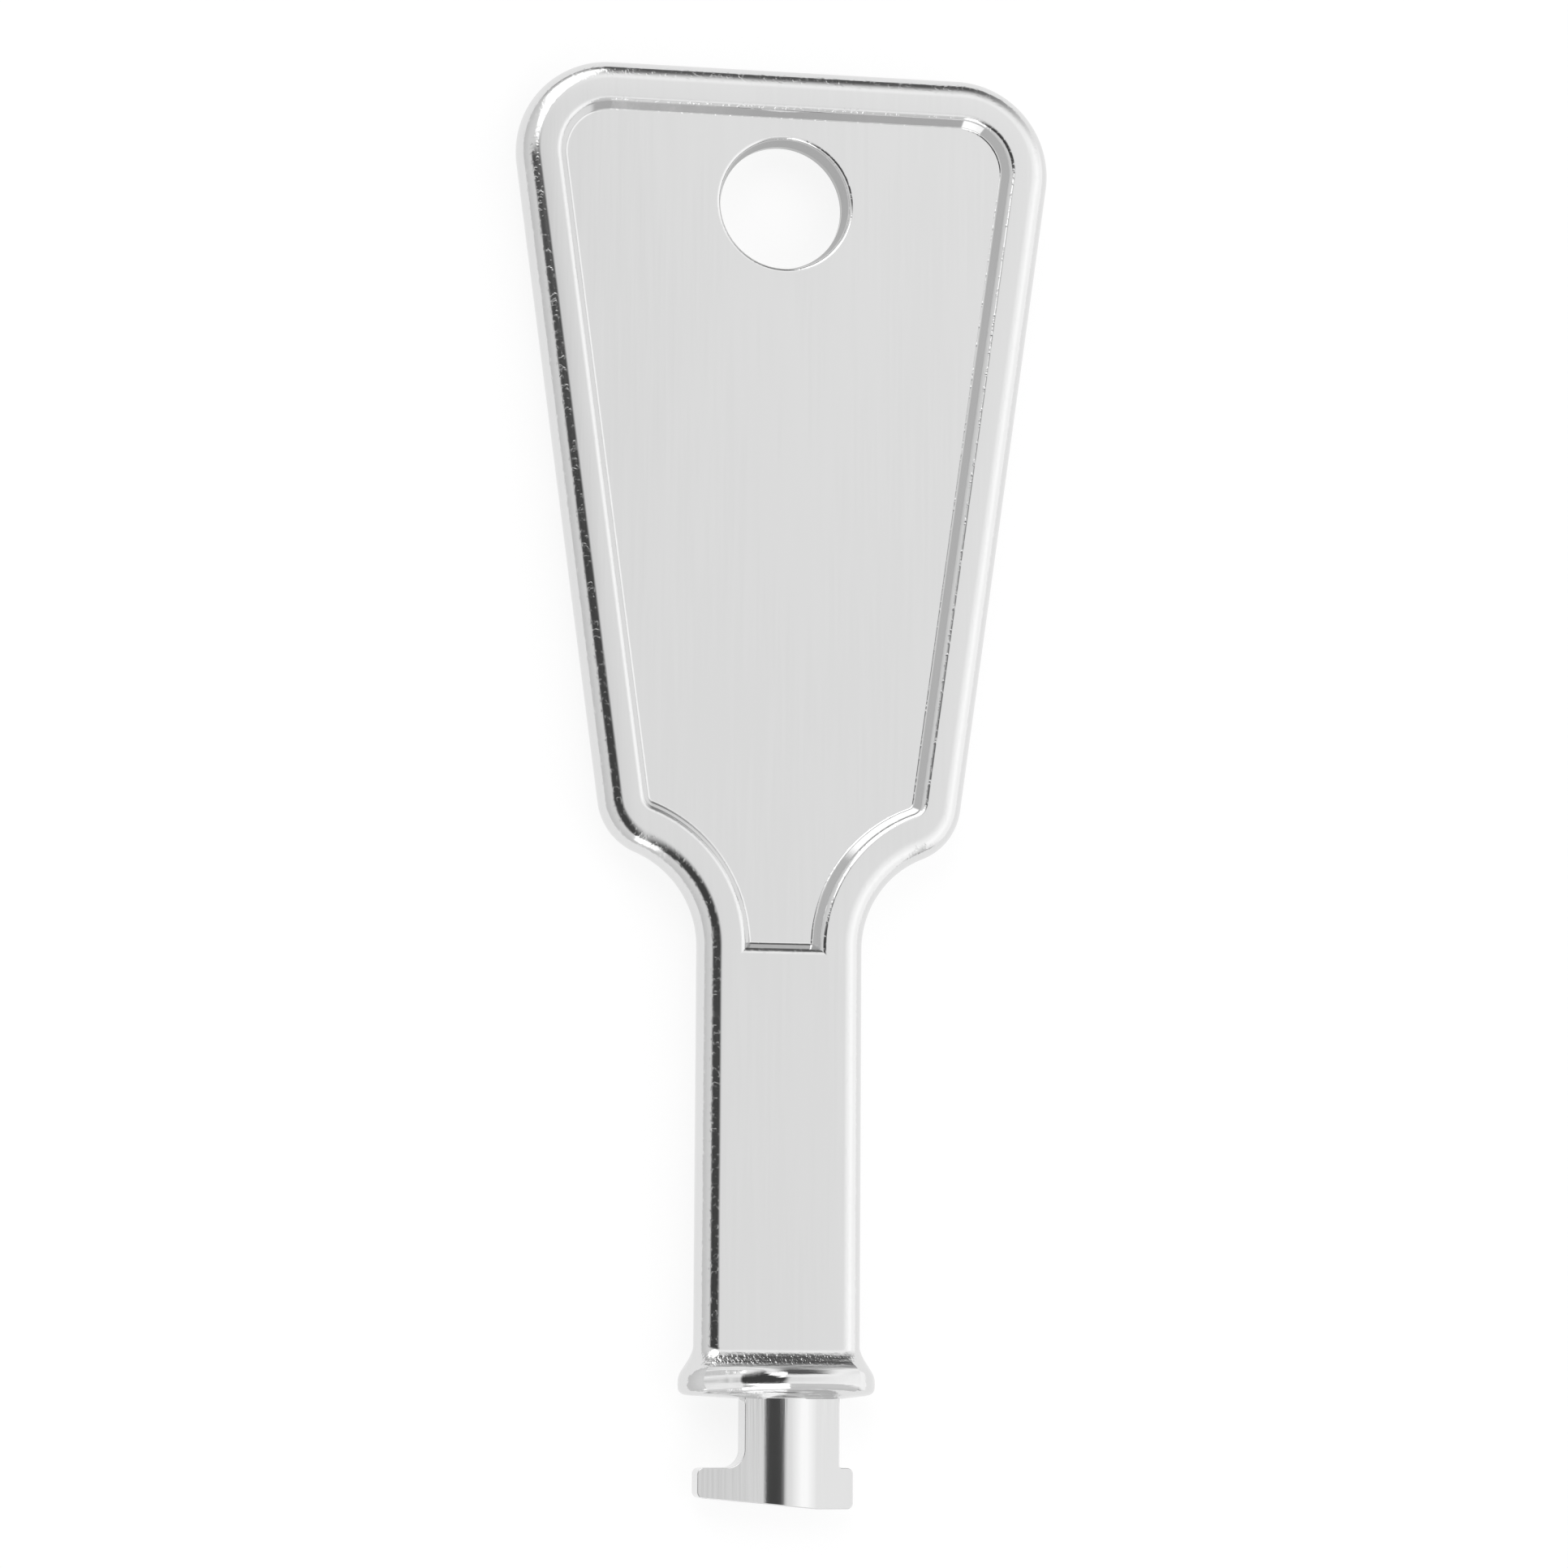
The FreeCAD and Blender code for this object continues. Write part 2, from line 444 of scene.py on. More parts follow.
def recess_side(inward):
    """Right-hand side of the panel's outline, drawn in by inward from its sharp mouth."""
    end_y = recess_end_y + inward
    flare = recess_flare_radius + inward
    finish = math.pi + math.asin((shank_top_y - end_y) / flare)
    return bow_side(rim_width + inward, corner_radius - rim_width - inward,
                    recess_shoulder_radius - inward, flare, finish)


def recess_loop(inward):
    """The panel's outline as two runs: the bow part and the neck line."""
    side = recess_side(inward)
    bow = mirror(side) + side[1:]
    neck = line(side[-1][0], bow[0][0], neck_steps, Vector((0, -1)))
    return bow, neck


# Plate
wall_tilt = math.atan2(recess_depth, recess_wall_run)
edge_reach = recess_edge_radius * math.tan(wall_tilt / 2)
foot_reach = recess_foot_radius * math.tan(wall_tilt / 2)
crown_width = rim_width - edge_reach - edge_radius
crown_drop = crown_width * math.tan(crown_tilt / 2)
floor_z = plate_half - recess_depth


def round_edge_row(outline, tilt, centre_z):
    """Row of the plate's round edge where its normal leans out by tilt."""
    inset = edge_radius * (1 - math.sin(tilt))
    z = centre_z + edge_radius * math.cos(tilt)
    return [raised(place - normal * inset, normal, z, math.sin(tilt), math.cos(tilt))
            for place, normal in outline]


def rim_rows(outline, mouth):
    """Rows from the panel's mouth over the round edge to the flat of the back."""
    rows = []
    for part in spread(0, 1, crown_steps):
        tilt = crown_tilt * part
        z = plate_half - crown_drop * part ** 2
        inset = edge_radius * (1 - math.sin(tilt))
        row = []
        for (place, normal), (inner, _) in zip(outline, mouth):
            here = inner.lerp(place - normal * inset, part)
            row.append(raised(here, normal, z, math.sin(tilt), math.cos(tilt)))
        rows.append(row)
    for tilt in spread(crown_tilt, quarter_turn, front_edge_steps)[1:]:
        rows.append(round_edge_row(outline, tilt, plate_half - crown_drop - edge_radius))
    for tilt in spread(quarter_turn, math.pi, back_edge_steps):
        rows.append(round_edge_row(outline, tilt, edge_radius - plate_half))
    return rows


def recess_profile():
    """(inward, height, lean) down the panel's wall, from its mouth to its floor."""
    steps = []
    for tilt in spread(0, wall_tilt, small_edge_steps):
        steps.append((recess_edge_radius * math.sin(tilt) - edge_reach,
                      plate_half - recess_edge_radius * (1 - math.cos(tilt)), tilt))
    for tilt in spread(wall_tilt, 0, recess_foot_steps):
        steps.append((recess_wall_run + foot_reach - recess_foot_radius * math.sin(tilt),
                      floor_z + recess_foot_radius * (1 - math.cos(tilt)), tilt))
    return steps


def hole_profile():
    """(radius, height, lean) down the hanging hole, from the panel to the back."""
    draft = math.atan2(hole_draft_depth, hole_mouth_radius - hole_radius)
    bore_z = floor_z - hole_draft_depth
    steps = []
    for tilt in spread(0, draft, small_edge_steps):
        steps.append((hole_mouth_radius - hole_mouth_edge * math.sin(tilt),
                      floor_z - hole_mouth_edge * (1 - math.cos(tilt)), tilt))
    steps.append((hole_radius, bore_z, draft))
    steps.append((hole_radius, bore_z, quarter_turn))
    for tilt in spread(quarter_turn, math.pi, small_edge_steps):
        steps.append((hole_radius + hole_back_edge * (1 - math.sin(tilt)),
                      -plate_half + hole_back_edge * (1 + math.cos(tilt)), tilt))
    return steps


def hole_rows():
    """Rows of the hanging hole from the panel's floor to the back face."""
    rows = []
    for radius, z, tilt in hole_profile():
        row = []
        for angle in spread(0, 2 * math.pi, hole_steps)[:-1]:
            turn = Vector((math.cos(angle), math.sin(angle)))
            place = Vector((0, hole_y)) + turn * radius
            row.append(raised(place, -turn, z, math.sin(tilt), math.cos(tilt)))
        rows.append(row + row[:1])
    return rows


def draw_plate(shell):
    """Draws the rim, panel, hole and flats, and returns the shank's closed section.

    The section is a run of points where the collar begins, from the front middle.
    """
    bow_mouth = recess_loop(-edge_reach)[0]
    shank_inner = shank_side(bow_mouth[-1][0].x, bow_mouth[-1][0].y)
    mouth = mirror(shank_inner)[:-1] + bow_mouth + shank_inner[1:]
    rim = rim_rows(handle_outline(), mouth)
    shell.grid(rim)

    bow_rows = []
    neck_rows = []
    for inward, z, tilt in recess_profile():
        bow, neck = recess_loop(inward)
        for run, rows in ((bow, bow_rows), (neck, neck_rows)):
            rows.append([raised(*pair, z, -math.sin(tilt), math.cos(tilt)) for pair in run])
    shell.grid(bow_rows)
    shell.grid(neck_rows)
    holes = hole_rows()
    shell.grid(holes)
    floor_loop = flat_places(bow_rows[-1]) + flat_places(neck_rows[-1])[1:-1]
    fill(shell, floor_loop, [flat_places(holes[0])[:-1]], flat(floor_z, 1))

    right_end = [row[-1][0] for row in rim]
    left_end = [row[0][0] for row in rim]
    parts = spread(0, 1, flat_steps)
    front_edge = [left_end[0].lerp(right_end[0], part) for part in parts]
    back_edge = [right_end[-1].lerp(left_end[-1], part) for part in parts]

    front_side = flat_places(rim[0][-shank_steps - 1:])
    front_loop = front_side + [(point.x, point.y) for point in front_edge[-2:0:-1]]
    front_loop += [(-x, y) for x, y in front_side[::-1]]
    front_loop += flat_places(neck_rows[0])[-2:0:-1]
    fill(shell, front_loop, [], flat(plate_half, 1))
    back_loop = flat_places(rim[-1]) + [(point.x, point.y) for point in back_edge[1:-1]]
    fill(shell, back_loop, [flat_places(holes[-1])[:-1]], flat(-plate_half, -1))

    half = flat_steps // 2
    return (front_edge[half:] + right_end[1:] + back_edge[1:] + left_end[-2::-1]
            + front_edge[1:half])


# Collar
def flange_front(x):
    """Height of the flange's front at x."""
    return flange_half_depth - x ** 2 / (2 * flange_crown_radius)


def lip_tilt(x):
    """Lean of the lip's front at x, to the right when above zero."""
    if x < lip_left_x:
        return lip_shoulder_tilt
    if x < lip_left_break_x:
        return lip_left_tilt
    if x < lip_crest_x:
        return lip_left_tilt * (lip_crest_x - x) / (lip_crest_x - lip_left_break_x)
    return lip_right_tilt * (x - lip_crest_x) / (lip_right_x - lip_crest_x)


def lip_front(x):
    """Height of the lip's front at x, added up from its lean outwards from the crest."""
    steps = spread(lip_crest_x, x, lip_steps)
    height = lip_half_depth
    for first, second in zip(steps, steps[1:]):
        height -= (second - first) * math.tan(lip_tilt((first + second) / 2))
    return height


def collar_quarter(front, side, shoulder_x):
    """Front of a collar section, as the (x, z) points of its face and of its round side."""
    face = []
    for x in spread(0, shoulder_x, collar_face_steps):
        face.append(Vector((side * x, front(side * x))))
    start = face[-1]
    reach = collar_half_width - shoulder_x
    begin = math.sin(collar_corner_turn)
    corner = [start]
    for turn in spread(collar_corner_turn, quarter_turn, collar_corner_steps)[1:]:
        corner.append(Vector((
            side * (shoulder_x + reach * (math.sin(turn) - begin) / (1 - begin)),
            start.y * math.cos(turn) / math.cos(collar_corner_turn))))
    return face, corner


face_half_width = shank_half_width - edge_radius * (1 - math.sin(crown_tilt)) + face_margin


def section_cuts(points):
    """Where a closed section turns from a face to a round side, and from quarter to quarter."""
    cuts = [0]
    for index, (here, after) in enumerate(zip(points, points[1:] + points[:1])):
        on_face = abs(here.x) <= face_half_width
        if here.z * after.z < 0:
            cuts.append(index + 1)
        elif on_face != (abs(after.x) <= face_half_width):
            cuts.append(index if on_face else index + 1)
        elif here.z < 0 and here.x > 0 >= after.x:
            cuts.append(index + 1)
    cuts.append(len(points))
    return cuts


def collar_match(points, front, shoulder_x):
    """For each point of the shank's section, its place on a collar section."""
    closed = points + points[:1]
    pieces = []
    for side, turned in ((1, 1), (1, -1), (-1, -1), (-1, 1)):
        parts = [[Vector((place.x, place.y * turned)) for place in part]
                 for part in collar_quarter(front, side, shoulder_x)]
        if side * turned < 0:
            parts = [part[::-1] for part in parts[::-1]]
        pieces += parts
    made = []
    cuts = section_cuts(points)
    for piece, start, finish in zip(pieces, cuts, cuts[1:]):
        reach = path_lengths([Vector((point.x, point.z)) for point in closed[start:finish + 1]])
        made += resample(piece, [length / reach[-1] for length in reach])[:-1]
    return made


def collar_rows(section):
    """Rows of points down the collar, from the shank's section to the boss's end."""
    flange = collar_match(section, flange_front, flange_shoulder_x)
    lip = collar_match(section, lip_front, lip_shoulder_x)
    rows = []
    profiles = [eased(profile, profile_steps) for profile in (front_profile, side_profile)]
    for front_step, side_step in zip(*profiles):
        row = []
        for start, wide, full in zip(section, flange, lip):
            side_part = min(abs(start.x) / shank_half_width, 1) ** side_profile_power
            y, growth, swell = [front + (side - front) * side_part
                                for front, side in zip(front_step, side_step)]
            place = Vector((start.x, start.z)).lerp(wide.lerp(full, swell), growth)
            row.append(Vector((place.x, y, place.y)))
        rows.append(row)
    last = rows[-1]
    for part in spread(0, 1, boss_steps)[1:]:
        row = []
        for point in last:
            goal = Vector((boss_x + boss_half_width * point.x / collar_half_width, boss_end_y,
                           boss_half_depth * point.z / lip_half_depth))
            row.append(point.lerp(goal, part))
        rows.append(row)
    return rows


def draw_collar(shell, section):
    """Draws the collar below the shank's section, creased where faces meet round sides."""
    rows = collar_rows(section)
    count = len(section)
    creases = section_cuts(section)[1::2]
    for start, finish in zip(creases, creases[1:] + [creases[0] + count]):
        columns = [index % count for index in range(start, finish + 1)]
        shell.grid(smooth_rows([[row[index] for index in columns] for row in rows]))
    down = Vector((0, -1, 0))
    cap = [(point, down) for point in rows[-1]]
    middle = (Vector((boss_x, boss_end_y, 0)), down)
    for first, second in zip(cap, cap[1:] + cap[:1]):
        shell.face([first, second, middle])


# Bit
def ridge_tilt(x):
    """Lean of the ridge's face at x, to the right when above zero."""
    if x <= ridge_crest_x:
        return ridge_left_tilt * (ridge_crest_x - x) / (ridge_crest_x - ridge_left_x)
    if x <= ridge_steep_x:
        return ridge_right_tilt * (x - ridge_crest_x) / (ridge_steep_x - ridge_crest_x)
    part = (ridge_right_x - x) / (ridge_right_x - ridge_steep_x)
    return right_web_tilt + (ridge_right_tilt - right_web_tilt) * part


ridge_ends = [ridge_left_x, ridge_crest_x, ridge_steep_x, ridge_right_x]
ridge_xs = [ridge_left_x]
for first_x, second_x, count in zip(ridge_ends, ridge_ends[1:], ridge_steps):
    ridge_xs += spread(first_x, second_x, count)[1:]
ridge_heights = [0.0]
for first_x, second_x in zip(ridge_xs, ridge_xs[1:]):
    fall = (second_x - first_x) * math.tan(ridge_tilt((first_x + second_x) / 2))
    ridge_heights.append(ridge_heights[-1] - fall)


def bit_height(x):
    """Height of the bit's front face above its flat, at x."""
    if x <= ridge_left_x:
        return (ridge_left_x - x) * math.tan(left_web_tilt)
    if x >= ridge_right_x:
        return ridge_heights[-1] - (x - ridge_right_x) * math.tan(right_web_tilt)
    index = sum(edge < x for edge in ridge_xs[1:])
    part = (x - ridge_xs[index]) / (ridge_xs[index + 1] - ridge_xs[index])
    return ridge_heights[index] + part * (ridge_heights[index + 1] - ridge_heights[index])


def bit_face(face):
    """Surface for fill: the bit's front (face 1) or back (face -1)."""
    def surface(x, y, middle_x):
        if middle_x <= ridge_left_x:
            tilt = left_web_tilt
        elif middle_x >= ridge_right_x:
            tilt = right_web_tilt
        else:
            tilt = ridge_tilt(x)
        normal = Vector((math.sin(tilt), 0, face * math.cos(tilt)))
        return Vector((x, y, face * (bit_half + bit_height(x)))), normal
    return surface


def bit_outline():
    """Outline of the web and wings, with outward normals, anticlockwise from the right root."""
    tip = wing_corner_radius
    left_fillet_y = wing_top_y + left_notch_fillet
    right_fillet_y = wing_top_y + right_notch_fillet
    left_tip_x = left_wing_x + tip
    right_tip_x = right_wing_x - tip
    end_slope = math.atan2(end_rise, ridge_left_x - left_wing_x)
    up = Vector((0, 1))
    down = Vector((0, -1))
    made = [(Vector((web_right_x, bit_root_y)), Vector((1, 1)))]
    made += [(Vector((x, bit_root_y)), up) for x in ridge_xs[::-1]]
    made.append((Vector((web_left_x, bit_root_y)), Vector((-1, 1))))
    made += line(Vector((web_left_x, bit_root_y)), Vector((web_left_x, left_fillet_y)),
                 small_edge_steps, Vector((-1, 0)))[1:]
    made += arc(Vector((web_left_x - left_notch_fillet, left_fillet_y)), left_notch_fillet,
                0, -quarter_turn, bit_fillet_steps, -1)
    made += arc(Vector((left_tip_x, wing_top_y - tip)), tip,
                quarter_turn, math.pi, bit_corner_steps, 1)
    made += arc(Vector((left_tip_x, left_wing_end_y + tip)), tip,
                math.pi, 3 * quarter_turn - end_slope, bit_corner_steps, 1)
    for x in ridge_xs:
        part = (ridge_right_x - x) / (ridge_right_x - ridge_left_x)
        made.append((Vector((x, bit_end_y + end_rise * part)), down))
    made += arc(Vector((right_tip_x, bit_end_y + tip)), tip,
                -quarter_turn, 0, bit_corner_steps, 1)
    made += arc(Vector((right_tip_x, wing_top_y - tip)), tip,
                0, quarter_turn, bit_corner_steps, 1)
    made += arc(Vector((web_right_x + right_notch_fillet, right_fillet_y)),
                right_notch_fillet, 3 * quarter_turn, math.pi, bit_edge_steps, -1)
    made += line(Vector((web_right_x, right_fillet_y)), Vector((web_right_x, bit_root_y)),
                 small_edge_steps, Vector((1, 0)))[:-1]
    return made


def draw_bit(shell):
    """Draws the bit's edge all round, then its two faces with creases along the ridge."""
    outline = bit_outline()
    outline.append(outline[0])
    rows = []
    for face, tilts in ((1, spread(0, quarter_turn, bit_edge_steps)),
                        (-1, spread(quarter_turn, 0, bit_edge_steps))):
        for tilt in tilts:
            row = []
            for place, normal in outline:
                here = place - normal * bit_edge * (1 - math.sin(tilt))
                z = face * (bit_half + bit_height(here.x) - bit_edge * (1 - math.cos(tilt)))
                row.append(raised(here, normal, z, math.sin(tilt), face * math.cos(tilt)))
            rows.append(row)
    shell.grid(rows)
    for face, row in ((1, rows[0]), (-1, rows[-1])):
        loop = flat_places(row)[:-1]
        lines = []
        for x in ridge_xs:
            ends = [place for place in loop if abs(place[0] - x) < same_x]
            lines.append((max(ends, key=lambda place: place[1]),
                          min(ends, key=lambda place: place[1])))
        fill(shell, loop, [], bit_face(face), lines)


# Materials
class Graph:
    """Short names for the nodes of one material or world."""

    def __init__(self, tree):
        self.tree = tree
        tree.nodes.clear()

    def node(self, kind, **settings):
        """A new node with its settings."""
        made = self.tree.nodes.new(kind)
        for name, value in settings.items():
            setattr(made, name, value)
        return made

    def join(self, source, target):
        """Links a socket to another, or gives it a plain value."""
        if isinstance(source, bpy.types.NodeSocket):
            self.tree.links.new(source, target)
        else:
            target.default_value = source

    def math(self, operation, *values):
        """One arithmetic node."""
        made = self.node("ShaderNodeMath", operation=operation)
        for value, socket in zip(values, made.inputs):
            self.join(value, socket)
        return made.outputs[0]

    def product(self, *values):
        """All the values multiplied."""
        total = values[0]
        for value in values[1:]:
            total = self.math("MULTIPLY", total, value)
        return total

    def ramp(self, value, start, finish, low=0.0, high=1.0):
        """A smooth change from low to high as value goes from start to finish."""
        made = self.node("ShaderNodeMapRange", interpolation_type="SMOOTHSTEP")
        for socket, given in zip(made.inputs, (value, start, finish, low, high)):
            self.join(given, socket)
        return made.outputs[0]

    def fall(self, value, start, finish):
        """A smooth change from 1 to 0 as value goes from start to finish."""
        return self.ramp(value, start, finish, 1.0, 0.0)

    def between(self, value, low, high, soft):
        """1 while value is from low to high, falling softly to 0 outside."""
        return self.math("MULTIPLY", self.ramp(value, low - soft, low + soft),
                         self.fall(value, high - soft, high + soft))

    def square(self, value, middle, width):
        """The square of value's distance from middle, in widths."""
        away = self.math("DIVIDE", self.math("SUBTRACT", value, middle), width)
        return self.math("MULTIPLY", away, away)

    def mix(self, part, first, second):
        """First where part is 0, second where it is 1."""
        made = self.node("ShaderNodeMix", data_type="FLOAT")
        self.join(part, made.inputs[0])
        self.join(first, made.inputs[2])
        self.join(second, made.inputs[3])
        return made.outputs[0]

    def darker(self, light, part, depth):
        """Light with a share of it, depth, taken away where part is 1."""
        return self.product(light, self.math("MULTIPLY_ADD", part, -depth, 1.0))

    def axes(self, vector):
        """The three outputs of a vector taken apart."""
        made = self.node("ShaderNodeSeparateXYZ")
        self.join(vector, made.inputs[0])
        return made.outputs

    def noise(self, place, scale, detail, stretch):
        """Noise with its features per metre given by scale and by stretch on each axis."""
        mapped = self.node("ShaderNodeMapping")
        mapped.inputs["Scale"].default_value = stretch
        self.join(place, mapped.inputs["Vector"])
        made = self.node("ShaderNodeTexNoise")
        made.inputs["Scale"].default_value = scale
        made.inputs["Detail"].default_value = detail
        self.join(mapped.outputs[0], made.inputs["Vector"])
        return made.outputs["Fac"]

    def bump(self, height, microns, below):
        """A bump of this height over the surface below, or over the bare one."""
        made = self.node("ShaderNodeBump")
        made.inputs["Strength"].default_value = 1.0
        made.inputs["Distance"].default_value = microns * MICRON
        self.join(height, made.inputs["Height"])
        if below is not None:
            self.join(below, made.inputs["Normal"])
        return made.outputs[0]


# Surface of the plating, in millimetres unless the name says otherwise.  A pair is where a
# change starts and ends, and the root's is measured down from the top of the fillet.
bright_tone = (0.72, 0.73)
tone_range = (0.8, 1.2)
# Painted shade in the hanging hole: inside this radius round the hole the plating's colour is
# darkened to the share given below.
bore_shade_radius = 3.22
bore_shade_edge = (0.98, 1.02)
bore_painted_shade = 0.55
ripple_range = (0.3, 0.7)
roughness_range = (0.8, 1.2)
pit_range = (0.52, 0.68)
pit_roughness = 0.05
steep_enough = (0.5, 0.62)
nearly_level = (0.98, 0.9985)
pits_kept_on_collar = 0.2
skin_softness = 0.2
fillet_height = 0.6
fillet_softness = 0.1
root_depth = (1.9, 1.7)
line_gain_y = (-32.2, -30.0)
line_gain = (1.0, 4.0)
streak_microns = 20
bristle_microns = 20


def skin_parts(graph, y, facing_z, collar_y):
    """Where the casting's skin, the collar's fillet and the pits are, each from 0 to 1."""
    skin = graph.fall(y, (collar_y - skin_softness) * MM, (collar_y + skin_softness) * MM)
    fillet = graph.between(y, (collar_y - fillet_height) * MM, collar_y * MM,
                           fillet_softness * MM)
    root = graph.fall(y, *((collar_y - depth) * MM for depth in root_depth))
    level = graph.math("ABSOLUTE", facing_z)
    round_edge = graph.product(graph.ramp(level, *steep_enough),
                               graph.fall(level, *nearly_level))
    left_over = graph.math("MULTIPLY_ADD", skin, pits_kept_on_collar - 1, 1.0)
    pitted = graph.math("MAXIMUM", graph.product(round_edge, left_over), root)
    return skin, fillet, pitted


def plating_tone(graph, x, y, texture):
    """Colour of the plating, a little uneven with the texture, with painted shade darkening it
    inside the hole.
    """
    tone = graph.ramp(texture, *tone_range, *bright_tone)
    # Painted shade: the colour is darkened inside the hanging hole.
    away = graph.math("ADD", graph.square(x, 0.0, bore_shade_radius * MM),
                      graph.square(y, hole_y * MM, bore_shade_radius * MM))
    tone = graph.product(tone, graph.ramp(away, *bore_shade_edge, bore_painted_shade, 1.0))
    colour = graph.node("ShaderNodeCombineColor")
    for socket in colour.inputs[:3]:
        graph.join(tone, socket)
    return colour.outputs[0]


def chrome(name, roughness, line_microns, ripple_microns, pit_microns, collar_y):
    """Bright plating over cast metal.

    Lengthwise polishing lines, shallower towards the bit's wings, lie over a low ripple.  Pits
    show on the round edges, which polishing spares.  Below collar_y, the top of the collar's
    fillet, streaks lie across the casting, with bristles in the fillet and pits again under
    the lip.
    """
    material = bpy.data.materials.new(name)
    material.use_nodes = True
    graph = Graph(material.node_tree)
    coordinates = graph.node("ShaderNodeTexCoord")
    place = coordinates.outputs["Object"]
    x, y, _ = graph.axes(place)
    facing_z = graph.axes(coordinates.outputs["Normal"])[2]
    skin, fillet, pitted = skin_parts(graph, y, facing_z, collar_y)

    lines = graph.noise(place, scale=4200, detail=3, stretch=(1.0, 0.035, 1.0))
    ripple = graph.noise(place, scale=260, detail=2, stretch=(1.0, 0.3, 1.0))
    grain = graph.noise(place, scale=4200, detail=4, stretch=(1.0, 1.0, 1.0))
    scores = graph.noise(place, scale=3800, detail=3, stretch=(0.07, 1.0, 1.0))
    bristle = graph.noise(place, scale=6000, detail=2, stretch=(1.0, 0.6, 1.0))

    line_depth = graph.ramp(y, *(edge * MM for edge in line_gain_y), *line_gain)
    pits = graph.product(graph.ramp(grain, *pit_range), pitted)
    surface = graph.bump(graph.product(lines, line_depth), line_microns, None)
    surface = graph.bump(ripple, ripple_microns, surface)
    surface = graph.bump(pits, pit_microns, surface)
    surface = graph.bump(graph.product(scores, skin), streak_microns, surface)
    surface = graph.bump(graph.product(bristle, fillet), bristle_microns, surface)

    tone = plating_tone(graph, x, y, graph.math("ADD", ripple, lines))
    rough = graph.ramp(ripple, *ripple_range, *(roughness * part for part in roughness_range))
    rough = graph.math("MULTIPLY_ADD", pitted, pit_roughness, rough)

    shader = graph.node("ShaderNodeBsdfPrincipled")
    shader.inputs["Metallic"].default_value = 1.0
    graph.join(tone, shader.inputs["Base Color"])
    graph.join(rough, shader.inputs["Roughness"])
    graph.join(surface, shader.inputs["Normal"])
    output = graph.node("ShaderNodeOutputMaterial")
    graph.join(shader.outputs[0], output.inputs["Surface"])
    return material


def floor_material():
    """Pale floor that gives most of its own light, so that shadows on it stay faint."""
    material = bpy.data.materials.new("pale_floor")
    material.use_nodes = True
    graph = Graph(material.node_tree)
    paint = graph.node("ShaderNodeBsdfPrincipled")
    paint.inputs["Base Color"].default_value = (0.25, 0.25, 0.25, 1)
    paint.inputs["Roughness"].default_value = 0.9
    paint.inputs["Specular IOR Level"].default_value = 0.0
    paint.inputs["Emission Color"].default_value = (1, 1, 1, 1)
    paint.inputs["Emission Strength"].default_value = 0.79
    output = graph.node("ShaderNodeOutputMaterial")
    graph.join(paint.outputs[0], output.inputs["Surface"])
    return material


# Studio light.  Turns go round the key and rises up from the floor, both in degrees.  A pair
# is where a change starts and ends, and a third number is how soft the ends of a span are.
# The opening and the far box's right side are placed by X and Y over Z.
lowest_overhead = 0.01
left_rise = (0.0, 44.0)
left_light = (0.71, 0.85)
right_rise = (48.0, 80.0)
right_light = (1.2, 0.96)
shine_rise = (26.0, 44.0, 8.0)
shine_light = 0.12
side_blend = 0.3
wall_left_turn = (-12.0, 6.0)
wall_right_turn = (16.0, 74.0)
wall_rise = (16.0, 58.0)
wall_depth = 0.91
low_wall_turn = (-36.0, -2.0, 5.0)
low_wall_rise = (4.0, 12.0)
low_wall_depth = 0.42
gap_turn = 139.0
gap_width = 8.0
gap_depth = 0.72
box_light = 1.9
far_box_lean_rise = (34.0, 56.0)
far_box_left_turn = (-36.0, -49.0)
far_box_left_softness = 5.0
far_box_right_slope = -0.17
far_box_right = (-0.20, -0.08)
far_box_rise = (17.0, 71.0, 5.0)
shade_turn = (-40.0, -8.0, 5.0)
shade_rise = (40.0, 60.0)
shade_depth = 0.42
near_box_turn = (-9.2, 24.0, 0.4)
near_box_rise = (16.0, 46.0, 3.0)
opening_light = 0.06
opening_right_slope = -0.207
opening_right = (-0.142, 0.158)
opening_left_slope = 0.3
opening_left = (-1.08, -0.72)
opening_far = (0.17, 0.31)
opening_near = (-1.25, -0.95)
seen_light = 0.93


def directions(graph):
    """Turn, back turn and rise of the way looked, then across and along overhead.

    Turn goes round from +Y to +X, and back turn from -Y to -X.  Across and along are X and Y
    over Z, in which straight edges overhead stay straight.
    """
    x, y, z = graph.axes(graph.node("ShaderNodeTexCoord").outputs["Generated"])
    turn = graph.math("MULTIPLY", graph.math("ARCTAN2", x, y), degrees_per_radian)
    behind = [graph.math("MULTIPLY", value, -1.0) for value in (x, y)]
    back_turn = graph.math("MULTIPLY", graph.math("ARCTAN2", *behind), degrees_per_radian)
    rise = graph.math("MULTIPLY", graph.math("ARCSINE", z), degrees_per_radian)
    above = graph.math("MAXIMUM", z, lowest_overhead)
    return turn, back_turn, rise, graph.math("DIVIDE", x, above), graph.math("DIVIDE", y, above)


def room_light(graph, turn, rise):
    """The bare room: left and right halves, a dark far wall, a low one and a gap near the right."""
    left = graph.ramp(rise, *left_rise, *left_light)
    right = graph.math("ADD", graph.ramp(rise, *right_rise, *right_light),
                       graph.product(graph.between(rise, *shine_rise), shine_light))
    side = graph.math("SINE", graph.math("DIVIDE", turn, degrees_per_radian))
    light = graph.mix(graph.ramp(side, -side_blend, side_blend), left, right)
    wall = graph.product(graph.ramp(turn, *wall_left_turn), graph.fall(turn, *wall_right_turn),
                         graph.fall(rise, *wall_rise))
    light = graph.darker(light, wall, wall_depth)
    low_wall = graph.product(graph.between(turn, *low_wall_turn),
                             graph.fall(rise, *low_wall_rise))
    light = graph.darker(light, low_wall, low_wall_depth)
    away = graph.math("ADD", graph.square(turn, gap_turn, gap_width),
                      graph.square(rise, 0.0, gap_width))
    gap = graph.math("EXPONENT", graph.math("MULTIPLY", away, -1.0))
    return graph.darker(light, gap, gap_depth)


